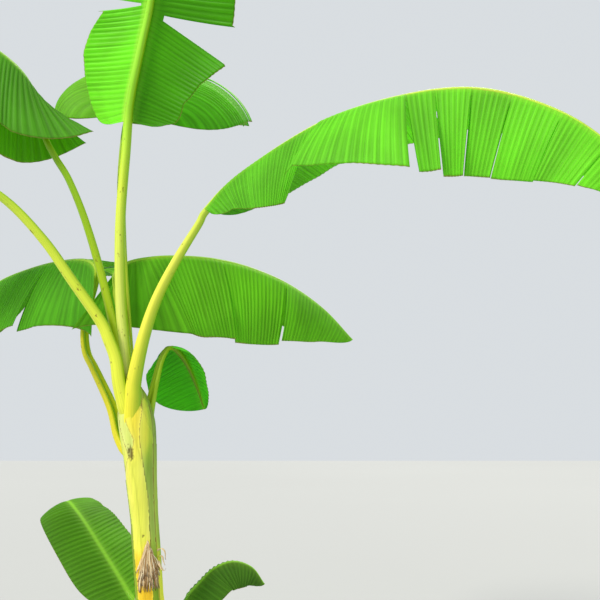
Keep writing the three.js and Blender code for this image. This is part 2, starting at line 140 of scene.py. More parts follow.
# Trunk
# The trunk of a banana is no wood but a roll of leaf sheaths, each wrapped round the younger ones inside it.
# Every sheath narrows upwards into its leaf's stalk, and its dry edges show as steps that run up to it.
MM = 0.001
# Height and radius of the plain trunk. Its middle line leans to the left, and more so towards the top.
TRUNK_RINGS = [
    (0, 88), (40, 82), (120, 75), (300, 67), (560, 58), (870, 51), (1158, 53),
    (1300, 60), (1400, 69), (1480, 76), (1560, 78), (1620, 64), (1665, 44), (1690, 20),
]
TRUNK_LEAN = 0.062
TRUNK_SWEEP = 27.5e-6
# Spacing of the rings, corners in a ring, and how far up and down a radius is averaged.
TRUNK_STEP = 6
TRUNK_SIDES = 144
SMOOTH_OVER = 30
# Sheaths from the outermost inwards. The tone goes from green (0) over yellow to orange (1), and the bloom
# is the wax. Both are given for below and above the heights of SHEATH_TURNS, between which they change over.
# Margins are (height, bearing of the first, bearing of the last), from the foot to the stalk.
SHEATH_TURNS = (1340, 1480)
SHEATHS = [
    dict(thickness=2.2, tone=(0.12, 0.12), bloom=(0, 0),
         margins=[(0, -330, -140), (885, -310, -158), (1100, -290, -163), (1190, -250, -205)]),
    dict(thickness=2.5, tone=(0.4, 0.3), bloom=(0, 0),
         margins=[(0, -60, 190), (300, -40, 170), (1240, -33, 130), (1460, -27, 100), (1613, -22, 80),
                  (1680, 10, 40)]),
    dict(thickness=3.0, tone=(0.2, 0.5), bloom=(0.2, 0),
         margins=[(0, -110, 250), (300, -90, 235), (885, -66, 225), (1024, -64, 220), (1166, -58, 210),
                  (1240, -57, 200), (1386, -70, 180), (1460, -74, 160), (1520, -69, 140), (1613, -50, 115),
                  (1680, 20, 90)]),
    dict(thickness=3.5, tone=(0.5, 0.6), bloom=(0.35, 0),
         margins=[(0, -400, -60), (300, -380, -40), (885, -330, -20), (1166, -240, 0), (1300, -175, 0),
                  (1367, -135, 0), (1400, -114, 0), (1442, -95, 0), (1461, -92, -10), (1518, -109, -40),
                  (1613, -120, -58), (1690, -112, -62)]),
    dict(thickness=3.0, tone=(0.4, 0.4), bloom=(0.2, 0.6),
         margins=[(0, -420, -90), (1300, -330, -100), (1400, -300, -112), (1461, -290, -132),
                  (1518, -280, -141), (1590, -270, -147), (1690, -240, -180)]),
    dict(thickness=2.5, tone=(0.34, 0.34), bloom=(0.9, 0.9),
         margins=[(0, -400, -50), (1300, -260, -60), (1461, -250, -85), (1613, -225, -95),
                  (1690, -200, -110)]),
    dict(thickness=2.0, tone=(0.45, 0.45), bloom=(0.3, 0.3),
         margins=[(0, -150, 150), (1461, -120, 30), (1613, -110, -20), (1690, -100, -60)]),
]
# A sheath's edge is a rounded step. Each sheath also lets the whole surface sink by a share of its
# thickness, so that the trunk keeps its radius. Margins ripple by so much, in waves of such a length.
EDGE_ROUNDING = 1.5
SHEATH_SINK = 0.6
MARGIN_RIPPLE = 2.5
RIPPLE_LENGTH = 40
# The distance from a margin is kept up to the first value, and starts at the second on the sheath below it.
FARTHEST_RIM = 60
COVERED_RIM = 8
# Old yellow sheaths are yellower between these heights, and painted shade makes all of them greener on the
# sides turned away from the sun.
YELLOWING_BEGINS = (500, 860)
YELLOWING_ENDS = (980, 1100)
YELLOW_TONES = (0.2, 0.6)
YELLOWED = 0.45
SUNNY_BEARING = -98
SHADE_TURNS = (30, 85)
PAINTED_SHADE = 0.26
# Wax shows above these heights, and more of it lies along a margin.
WAX_BEGINS = (1000, 1150)
MARGIN_WAX = 0.5
MARGIN_WAX_WIDTH = 12
# Torn, dried places on the sheaths: bearing, height, half its width and half its length.
SCARS = [(-107, 1412, 20, 40), (-88, 1107, 6, 7), (-60, 700, 9, 22), (-130, 380, 12, 30), (20, 1000, 8, 16)]
SCAR_DEPTH = 2
# Their outline frays by a share of their size, in grains of so many degrees and so much height, and the
# damage is full at this share inside it.
SCAR_FRAYING = 0.5
SCAR_GRAIN = (6, 9)
SCAR_FULL = 0.6
# Values that every corner of the trunk carries for its material.
TRUNK_MARKS = ("tone", "bloom", "rim", "scar")
# Repeats in a metre, across, across and along: fibres about 7 mm wide, blotches about 40 mm wide.
SHEATH_FIBRES = (150, 150, 5)
SHEATH_BLOTCHES = (26, 26, 2.5)
WAX_PALE = "#e4f09c"
DRY_EDGE_BROWN = "#6e3a18"
SCAR_BROWN = "#5c4a22"
# Sockets of a Mix node: its two colours, and the mixed colour that comes out.
COLOUR_1, COLOUR_2, MIXED = 6, 7, 2
WELD_WITHIN = 0.01


def between(a, b, share):
    """The value at a share of the way from a to b."""
    return a + (b - a) * share


def smooth(low, high, x):
    """Rises smoothly from 0 at low to 1 at high."""
    share = min(max((x - low) / (high - low), 0), 1)
    return share * share * (3 - 2 * share)


def span_at(stations, place):
    """The two stations that a place lies between, and its share of the way from one to the other."""
    low, high = next((pair for pair in zip(stations, stations[1:]) if place <= pair[1][0]), stations[-2:])
    return low, high, min((place - low[0]) / (high[0] - low[0]), 1)


def through(points, place):
    """Value at a place on straight lines through (place, value) points."""
    low, high, share = span_at(points, place)
    return between(low[1], high[1], share)


def turned_from(bearing, turn):
    """Degrees from a bearing to a turn, the short way round."""
    return abs((turn - bearing + 180) % 360 - 180)


def soft_radius(rings, z):
    """Radius at height z with the corners between the rings rounded off."""
    heights = [min(max(z + SMOOTH_OVER * share, 0), rings[-1][0]) for share in (-1, -0.5, 0, 0.5, 1)]
    return sum(through(rings, height) for height in heights) / len(heights)


def trunk_middle(z):
    """Place of the trunk's middle line at height z."""
    return Vector((-(TRUNK_LEAN * z + TRUNK_SWEEP * z * z), 0, z))


def sheath_edge(sheath, turn, z, radius):
    """Millimetres that a place on the trunk lies inside a sheath's nearest margin, below 0 outside."""
    low, high, share = span_at(sheath["margins"], z)
    first, last = (between(low[k], high[k], share) for k in (1, 2))
    inside = math.radians((last - first) / 2 - turned_from((first + last) / 2, turn)) * radius
    ripple = MARGIN_RIPPLE * noise.noise(Vector((low[1], z / RIPPLE_LENGTH, sheath["thickness"])))
    return min(inside + ripple, sheath["margins"][-1][0] - z)


def trunk_place(turn, z):
    """Plain radius, lift over it, tone with painted shade away from the sun, bloom of the sheath on top, and
    distance from a margin.
    """
    radius = soft_radius(TRUNK_RINGS, z)
    lift, rim, on_top = 0, FARTHEST_RIM, None
    for sheath in SHEATHS:
        inside = sheath_edge(sheath, turn, z, radius)
        lift += sheath["thickness"] * (smooth(-EDGE_ROUNDING, EDGE_ROUNDING, inside) - SHEATH_SINK)
        if on_top is None:
            rim = min(rim, inside if inside > 0 else COVERED_RIM - inside)
            on_top = sheath if inside > 0 else None
    on_top = on_top or SHEATHS[-1]
    above = smooth(*SHEATH_TURNS, z)
    tone, bloom = (between(*on_top[mark], above) for mark in ("tone", "bloom"))
    yellowing = smooth(*YELLOWING_BEGINS, z) * (1 - smooth(*YELLOWING_ENDS, z)) * smooth(*YELLOW_TONES, tone)
    # Painted shade: the tone falls towards green on the sides turned away from the sun.
    tone += YELLOWED * yellowing - PAINTED_SHADE * smooth(*SHADE_TURNS, turned_from(SUNNY_BEARING, turn))
    bloom += MARGIN_WAX * math.exp(-max(rim, 0) / MARGIN_WAX_WIDTH)
    return radius, lift, tone, bloom * smooth(*WAX_BEGINS, z), rim


def scar_at(turn, z):
    """How torn and dried the sheath is at a place, from 0 to 1."""
    radius = soft_radius(TRUNK_RINGS, z)
    frayed = SCAR_FRAYING * noise.noise(Vector((turn / SCAR_GRAIN[0], z / SCAR_GRAIN[1], 0)))
    worst = 0
    for bearing, height, half_width, half_length in SCARS:
        across = math.radians(turned_from(bearing, turn)) * radius / half_width
        worst = max(worst, 1 - math.hypot(across, (z - height) / half_length) + frayed)
    return smooth(0, SCAR_FULL, worst)


def laid_grid(us, vs, place, chart, marks):
    """A grid with a corner for each u and v, and chart(u, v) as its UV map.

    place(u, v) gives the corner's place, and then its value for each of the marks.
    """
    bm = bmesh.new()
    bmesh.ops.create_grid(bm, x_segments=len(us) - 1, y_segments=len(vs) - 1, size=0.5)
    bm.verts.index_update()
    surface = bm.loops.layers.uv.new("surface")
    layers = [bm.verts.layers.float.new(mark) for mark in marks]
    spots = [(u, v) for v in vs for u in us]
    for vert, (u, v) in zip(bm.verts, spots):
        vert.co, *values = place(u, v)
        for layer, value in zip(layers, values):
            vert[layer] = value
    charted = [chart(u, v) for u, v in spots]
    for face in bm.faces:
        face.smooth = True
        for loop in face.loops:
            loop[surface].uv = charted[loop.vert.index]
    return bm


def close_tube(bm):
    """Welds the seam of a grid that runs round a tube, and closes its two ends."""
    bmesh.ops.remove_doubles(bm, verts=bm.verts, dist=WELD_WITHIN * MM)
    open_edges = [edge for edge in bm.edges if edge.is_boundary]
    bmesh.ops.holes_fill(bm, edges=open_edges)
    bmesh.ops.recalc_face_normals(bm, faces=bm.faces)


def make_piece(name, bm, materials, nodes):
    """Turns a mesh form into a piece that stands for its nodes of the frame."""
    mesh = bpy.data.meshes.new(name)
    bm.to_mesh(mesh)
    bm.free()
    for material in materials:
        mesh.materials.append(material)
    piece = bpy.data.objects.new(name, mesh)
    bpy.context.scene.collection.objects.link(piece)
    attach(piece, "root")
    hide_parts(*nodes)
    return piece


def sheath_skin():
    """Living leaf sheath: a waxy skin over long fibres, from green to yellow and orange where it is old, and
    greener as painted shade on the side away from the sun.
    """
    material, tree, output = new_material("living leaf sheath")
    spot = add_node(tree, "ShaderNodeTexCoord").outputs["Object"]
    tone, bloom, rim, scar = (add_node(tree, "ShaderNodeAttribute", attribute_name=mark).outputs["Fac"]
                              for mark in TRUNK_MARKS)
    long_way = add_node(tree, "ShaderNodeMapping", {"Vector": spot, "Scale": SHEATH_FIBRES})
    fibres = add_node(tree, "ShaderNodeTexNoise",
                      {"Vector": long_way.outputs[0], "Scale": 1.0, "Detail": 4.0})
    patches = add_node(tree, "ShaderNodeMapping", {"Vector": spot, "Scale": SHEATH_BLOTCHES})
    blotch = add_node(tree, "ShaderNodeTexNoise",
                      {"Vector": patches.outputs[0], "Scale": 1.0, "Detail": 5.0})
    shifted = add_node(tree, "ShaderNodeMath", {0: blotch.outputs["Fac"], 1: 0.5, 2: tone},
                       operation="MULTIPLY_ADD")
    levelled = add_node(tree, "ShaderNodeMath", {0: shifted.outputs[0], 1: 0.25}, operation="SUBTRACT")
    hue = add_node(tree, "ShaderNodeValToRGB", {"Fac": levelled.outputs[0]},
                   stops=[(0.02, "#7ea51c"), (1.0, "#eeb41a"), (0.22, "#a8cc2c"), (0.38, "#e2ec44"),
                          (0.55, "#fcf650"), (0.75, "#f8de34")])
    waxed = add_node(tree, "ShaderNodeMath", {0: blotch.outputs["Fac"], 1: bloom}, operation="MULTIPLY")
    pale = add_node(tree, "ShaderNodeMix",
                    {"Factor": waxed.outputs[0], COLOUR_1: hue.outputs["Color"], COLOUR_2: linear(WAX_PALE)},
                    data_type="RGBA")
    streaks = add_node(tree, "ShaderNodeValToRGB", {"Fac": fibres.outputs["Fac"]},
                       stops=[(0.25, 0.80), (0.62, 1.0)])
    streaked = add_node(tree, "ShaderNodeMix",
                        {"Factor": 0.8, COLOUR_1: pale.outputs[MIXED], COLOUR_2: streaks.outputs["Color"]},
                        data_type="RGBA", blend_type="MULTIPLY")
    dry = add_node(tree, "ShaderNodeMapRange", {"Value": rim, "From Min": 0.5, "From Max": 6.0,
                                                "To Min": 1.5, "To Max": 0.0})
    ragged = add_node(tree, "ShaderNodeMath", {0: dry.outputs[0], 1: blotch.outputs["Fac"]},
                      operation="MULTIPLY")
    edged = add_node(tree, "ShaderNodeMix",
                     {"Factor": ragged.outputs[0], COLOUR_1: streaked.outputs[MIXED],
                      COLOUR_2: linear(DRY_EDGE_BROWN)}, data_type="RGBA")
    torn = add_node(tree, "ShaderNodeMath", {0: scar, 1: fibres.outputs["Fac"]}, operation="MULTIPLY")
    worn = add_node(tree, "ShaderNodeMapRange", {"Value": torn.outputs[0], "From Min": 0.1, "From Max": 0.5,
                                                 "To Min": 0.0, "To Max": 0.9})
    scarred = add_node(tree, "ShaderNodeMix",
                       {"Factor": worn.outputs[0], COLOUR_1: edged.outputs[MIXED],
                        COLOUR_2: linear(SCAR_BROWN)}, data_type="RGBA")
    relief = add_node(tree, "ShaderNodeBump", {"Height": fibres.outputs["Fac"], "Strength": 0.5,
                                              "Distance": 2 * MM})
    skin = add_node(tree, "ShaderNodeBsdfPrincipled",
                    {"Base Color": scarred.outputs[MIXED], "Roughness": 0.5, "Specular IOR Level": 0.25,
                     "Normal": relief.outputs[0]})
    tree.links.new(skin.outputs[0], output.inputs["Surface"])
    return material


def trunk_corner(turn, z):
    """A corner of the trunk at a bearing and a height, with its marks."""
    radius, lift, tone, bloom, rim = trunk_place(turn, z)
    scar = scar_at(turn, z)
    angle = math.radians(turn)
    reach = radius + lift - SCAR_DEPTH * scar
    corner = trunk_middle(z) + Vector((math.cos(angle) * reach, math.sin(angle) * reach, 0))
    return corner * MM, tone, bloom, rim, scar


trunk_top = TRUNK_RINGS[-1][0]
trunk_steps = round(trunk_top / TRUNK_STEP)
trunk_form = laid_grid([360 * k / TRUNK_SIDES for k in range(TRUNK_SIDES + 1)],
                       [trunk_top * k / trunk_steps for k in range(trunk_steps + 1)],
                       trunk_corner, lambda turn, z: (turn / 360, z * MM), TRUNK_MARKS)
close_tube(trunk_form)
living_sheath = sheath_skin()
make_piece("sheathed_trunk", trunk_form, [living_sheath], ["trunk"])

# Leaf stalks and midribs
# A leaf's stalk is a channelled rod of spongy tissue that leaves the trunk where its sheath ends.
# It runs on under the blade as the midrib, thick and round below, and thins out to the tip.
#
# A route is a few stations, (out, up) or (out, up, aside) of the bearing. They count from the ground under
# the trunk's middle at the height of the foot. Radii are at the foot and the neck, where the blade starts.
# Tints are at the foot, below the neck and on the rib.
STALKS = {
    "right": dict(
        bearing=-20, foot=1450, radius=(44, 17), tints=("#fef73c", "#fbff61", "#d0ee50"),
        stalk=[(-15, 1490, -30), (-5, 1615, -50), (-5, 1690, -50), (20, 1850, -40), (65, 2015, -25),
               (145, 2175, -15), (235, 2325), (270, 2382)],
        rib=[(420, 2520), (760, 2685), (1080, 2740), (1370, 2715), (1630, 2580), (1800, 2400), (1890, 2200)]),
    "left": dict(
        bearing=205, foot=1450, radius=(40, 18), tints=("#f4fa48", "#e4fc49", "#b0e44c"),
        stalk=[(40, 1540, 10), (80, 1675, 10), (100, 1775, 10), (130, 1850, 5), (170, 1930), (285, 2080),
               (405, 2235), (560, 2380), (755, 2475)],
        rib=[(960, 2540), (1230, 2560), (1500, 2460), (1700, 2280), (1840, 2060)]),
    "centre": dict(
        bearing=-86, foot=1600, radius=(27, 19), tints=("#f6f98c", "#e8fc4a", "#aefc3c"),
        stalk=[(0, 1640, -20), (15, 1800, -45), (20, 1980, -70), (30, 2190, -85), (40, 2400, -90),
               (55, 2655, -80), (70, 2780, -75)],
        rib=[(90, 2870, -65), (150, 3070, -20), (220, 3255, 25), (330, 3470, 60), (520, 3700, 90),
             (760, 3840, 110), (960, 3850, 120)]),
    "upper_left": dict(
        bearing=190, foot=1550, radius=(30, 17), tints=("#c8dc20", "#8cc00c", "#78a808"),
        stalk=[(40, 1640), (75, 1815), (155, 2105), (240, 2355), (315, 2525), (375, 2620), (425, 2710),
               (465, 2850)],
        rib=[(510, 2960), (590, 3050), (710, 3125), (880, 3170), (1070, 3160), (1270, 3070), (1450, 2920),
             (1580, 2730)]),
    "low_left": dict(
        bearing=150, foot=1400, radius=(32, 16), tints=("#f8ec28", "#f2ee2c", "#a4d83a"),
        stalk=[(40, 1390), (110, 1475), (165, 1595), (280, 1755), (335, 1830), (355, 1925), (340, 2030),
               (310, 2130), (305, 2200)],
        rib=[(380, 2250), (560, 2265), (760, 2255), (975, 2220), (1180, 2135), (1340, 2000), (1430, 1850)]),
    "back_right": dict(
        bearing=25, foot=1500, radius=(28, 16), tints=("#e4e444", "#c0d83c", "#9ccc3a"),
        stalk=[(-25, 1540, 20), (-35, 1650, 45), (-50, 1790, 75), (-75, 1960, 100), (-100, 2070, 115),
               (-105, 2150, 120)],
        rib=[(-55, 2210, 120), (50, 2245, 120), (170, 2262, 115), (330, 2265, 105), (500, 2240, 95),
             (690, 2175, 80), (870, 2065, 65), (1015, 1925, 50)]),
    "low_right": dict(
        bearing=60, foot=1400, radius=(34, 13), tints=("#c4dc28", "#b6d828", "#74961c"),
        stalk=[(5, 1380, -10), (15, 1460, -5), (50, 1620), (75, 1700, 5), (105, 1790, 5), (145, 1845, 0)],
        rib=[(200, 1840, -5), (265, 1780, -10), (330, 1690, -10), (385, 1590, -10)]),
    "back": dict(
        bearing=97, foot=1600, radius=(26, 16), tints=("#e0e244", "#b4d03c", "#8cc43c"),
        stalk=[(10, 1640, 20), (30, 1880, 50), (45, 2240, 90), (50, 2540, 110), (60, 2760, 110),
               (90, 2900, 100)],
        rib=[(170, 3070, 85), (300, 3205, 60), (470, 3310, 30), (680, 3385, 0), (900, 3420, -20),
             (1120, 3400, -30)]),
}
# Steps between two stations and in a whole route; sides, spacing and fewest of the rings of a stalk.
SPAN_STEPS = 40
ROUTE_STEPS = 600
STALK_SIDES = 24
STALK_RING = 12
FEWEST_RINGS = 40
# A stalk starts inside the trunk at half its thickness, and has all of it after this length.
FOOT_TAPER = 60
TIP_RADIUS = 1.2
# Powers with which the stalk thins from foot to neck and the rib from neck to tip. The section of the one
# turns into that of the other from so much before the neck to so much after it, in shares of the route.
STALK_TAPER = 0.6
RIB_TAPER = 0.75
NECK_BLEND = (0.02, 0.08)
# The upper side is flattened and channelled. Where the rib carries the blade, the channel is shallower and
# the rib sinks by a share of its radius. Low ridges run along the whole stalk.
STALK_FLATTEN = 0.7
CHANNEL_DEPTH = 0.62
CHANNEL_CLOSING = 0.3
CHANNEL_WIDTH = 0.5
RIB_SINK = 0.8
RIDGES = 7
RIDGE_HEIGHT = 0.012
# Repeats round the stalk and in a metre of its length.
STALK_FIBRES = (26, 3, 1)
STALK_FLECKS = (7, 22, 1)
FLECK_BROWN = "#74501c"
PAINTED_SHADE_GREEN = "#9cc818"
# Painted shade makes stalks greener on the side away from this direction.
SUN_SIDE = (-0.78, -0.62, 0.0)


def route_of(leaf, origin):
    """The middle line of a stalk and its rib as evenly spaced frames, and the share at which the neck is."""
    bearing = math.radians(leaf["bearing"])
    out = Vector((math.cos(bearing), math.sin(bearing), 0))
    aside = Vector((-math.sin(bearing), math.cos(bearing), 0))
    stations = [origin + out * s[0] + aside * (s[2] if len(s) > 2 else 0) + Vector((0, 0, s[1]))
                for s in leaf["stalk"] + leaf["rib"]]
    stations = [2 * stations[0] - stations[1], *stations, 2 * stations[-1] - stations[-2]]
    points = [stations[1]]
    for a, b, c, d in zip(stations, stations[1:], stations[2:], stations[3:]):
        for k in range(1, SPAN_STEPS + 1):
            t = k / SPAN_STEPS
            start, end = (c - a) / 2, (d - b) / 2
            points.append(b + start * t + (3 * (c - b) - 2 * start - end) * t ** 2
                          + (2 * (b - c) + start + end) * t ** 3)
    lengths = [0]
    for a, b in zip(points, points[1:]):
        lengths.append(lengths[-1] + (b - a).length)
    neck = lengths[SPAN_STEPS * (len(leaf["stalk"]) - 1)] / lengths[-1]
    places = []
    k = 0
    for step in range(ROUTE_STEPS + 1):
        goal = lengths[-1] * step / ROUTE_STEPS
        while k < len(lengths) - 2 and lengths[k + 1] < goal:
            k += 1
        places.append(points[k].lerp(points[k + 1], (goal - lengths[k]) / (lengths[k + 1] - lengths[k])))
    frames = []
    for i, at in enumerate(places):
        tangent = (places[min(i + 1, ROUTE_STEPS)] - places[max(i - 1, 0)]).normalized()
        across = (aside - tangent * tangent.dot(aside)).normalized()
        frames.append((at, tangent, across, tangent.cross(across)))
    return dict(frames=frames, out=out, aside=aside, neck=neck, length=lengths[-1],
                rib_length=lengths[-1] * (1 - neck))


def frame_at(route, share):
    """Place, direction, level cross direction and upper side at a share of a route."""
    step = min(max(share, 0), 1) * ROUTE_STEPS
    k = min(int(step), ROUTE_STEPS - 1)
    return [a.lerp(b, step - k) for a, b in zip(route["frames"][k], route["frames"][k + 1])]


def stalk_radius(leaf, route, share):
    """Radius of a stalk, and of its rib under the blade, at a share of the route."""
    foot, neck = leaf["radius"]
    if share < route["neck"]:
        return between(foot, neck, (share / route["neck"]) ** STALK_TAPER)
    left = (1 - share) / (1 - route["neck"])
    return between(TIP_RADIUS, neck, left ** RIB_TAPER)


def stalk_corner(leaf, route, turn, share):
    """A corner of a stalk, round below and flat above with a channel, and its share of the route."""
    at, _, across, upper = frame_at(route, share)
    radius = stalk_radius(leaf, route, share) * smooth(-FOOT_TAPER, FOOT_TAPER, share * route["length"])
    on_blade = smooth(route["neck"] - NECK_BLEND[0], route["neck"] + NECK_BLEND[1], share)
    angle = math.radians(turn)
    level, rise = math.cos(angle), math.sin(angle)
    if rise > 0:
        channel = (CHANNEL_DEPTH - CHANNEL_CLOSING * on_blade) * math.exp(-(level / CHANNEL_WIDTH) ** 2)
        rise *= STALK_FLATTEN - channel * smooth(0, 0.6, rise)
    sink = RIB_SINK * radius * on_blade
    ridged = 1 + RIDGE_HEIGHT * math.sin(RIDGES * angle)
    corner = at + across * level * radius * ridged + upper * (rise * radius * ridged - sink)
    return corner * MM, share


def stalk_flesh(name, tints, neck):
    """Leaf stalk: a smooth waxy skin over spongy tissue, yellow at the foot and greener along the rib.

    Fine fibres streak it, brown flecks mark it, and painted shade makes the side away from the sun greener.
    """
    material, tree, output = new_material(name)
    share = add_node(tree, "ShaderNodeAttribute", attribute_name="share").outputs["Fac"]
    spot = add_node(tree, "ShaderNodeUVMap", uv_map="surface").outputs[0]
    tinted = add_node(tree, "ShaderNodeValToRGB", {"Fac": share},
                      stops=[(0.0, tints[0]), (1.0, tints[2]), (neck * 0.75, tints[1]),
                             (neck + 0.03, tints[2])])
    long_way = add_node(tree, "ShaderNodeMapping", {"Vector": spot, "Scale": STALK_FIBRES})
    fibres = add_node(tree, "ShaderNodeTexNoise",
                      {"Vector": long_way.outputs[0], "Scale": 1.0, "Detail": 3.0})
    streaks = add_node(tree, "ShaderNodeValToRGB", {"Fac": fibres.outputs["Fac"]},
                       stops=[(0.3, 0.76), (0.6, 0.96)])
    streaked = add_node(tree, "ShaderNodeMix",
                        {"Factor": 0.9, COLOUR_1: tinted.outputs["Color"],
                         COLOUR_2: streaks.outputs["Color"]}, data_type="RGBA", blend_type="MULTIPLY")
    flecks = add_node(tree, "ShaderNodeMapping", {"Vector": spot, "Scale": STALK_FLECKS})
    fleck = add_node(tree, "ShaderNodeTexNoise", {"Vector": flecks.outputs[0], "Scale": 1.0, "Detail": 6.0})
    brown = add_node(tree, "ShaderNodeValToRGB", {"Fac": fleck.outputs["Fac"]},
                     stops=[(0.64, 0.0), (0.70, 0.85)])
    flecked = add_node(tree, "ShaderNodeMix",
                       {"Factor": brown.outputs["Color"], COLOUR_1: streaked.outputs[MIXED],
                        COLOUR_2: linear(FLECK_BROWN)}, data_type="RGBA")
    relief = add_node(tree, "ShaderNodeBump", {"Height": fibres.outputs["Fac"], "Strength": 0.3,
                                              "Distance": 1 * MM})
    # Painted shade: the side turned away from the sun is mixed towards a darker green.
    outward = add_node(tree, "ShaderNodeTexCoord").outputs["Normal"]
    facing = add_node(tree, "ShaderNodeVectorMath", {0: outward, 1: SUN_SIDE}, operation="DOT_PRODUCT")
    shaded = add_node(tree, "ShaderNodeMapRange", {"Value": facing.outputs["Value"], "From Min": -0.5,
                                                   "From Max": 0.6, "To Min": 1.0, "To Max": 0.0})
    shade_painted = add_node(tree, "ShaderNodeMix",
                       {"Factor": shaded.outputs[0], COLOUR_1: flecked.outputs[MIXED],
                        COLOUR_2: linear(PAINTED_SHADE_GREEN)}, data_type="RGBA")
    skin = add_node(tree, "ShaderNodeBsdfPrincipled",
                    {"Base Color": shade_painted.outputs[MIXED], "Roughness": 0.42, "Specular IOR Level": 0.3,
                     "Normal": relief.outputs[0]})
    tree.links.new(skin.outputs[0], output.inputs["Surface"])
    return material


def make_stalk(name, leaf, route):
    """One stalk with its midrib, as a welded tube."""
    rings = max(round(route["length"] / STALK_RING), FEWEST_RINGS)
    turns = [360 * k / STALK_SIDES for k in range(STALK_SIDES + 1)]
    shares = [k / rings for k in range(rings + 1)]
    form = laid_grid(turns, shares, lambda turn, share: stalk_corner(leaf, route, turn, share),
                     lambda turn, share: (turn / 360, share * route["length"] * MM), ("share",))
    close_tube(form)
    flesh = stalk_flesh(f"waxy leaf stalk, {name.replace('_', ' ')}", leaf["tints"], route["neck"])
    make_piece(f"petiole_{name}", form, [flesh], [f"stalk_{name}"])


routes = {}
for stalk_name, stalk in STALKS.items():
    routes[stalk_name] = route_of(stalk, Vector((trunk_middle(stalk["foot"]).x, 0, 0)))
    make_stalk(stalk_name, stalk, routes[stalk_name])
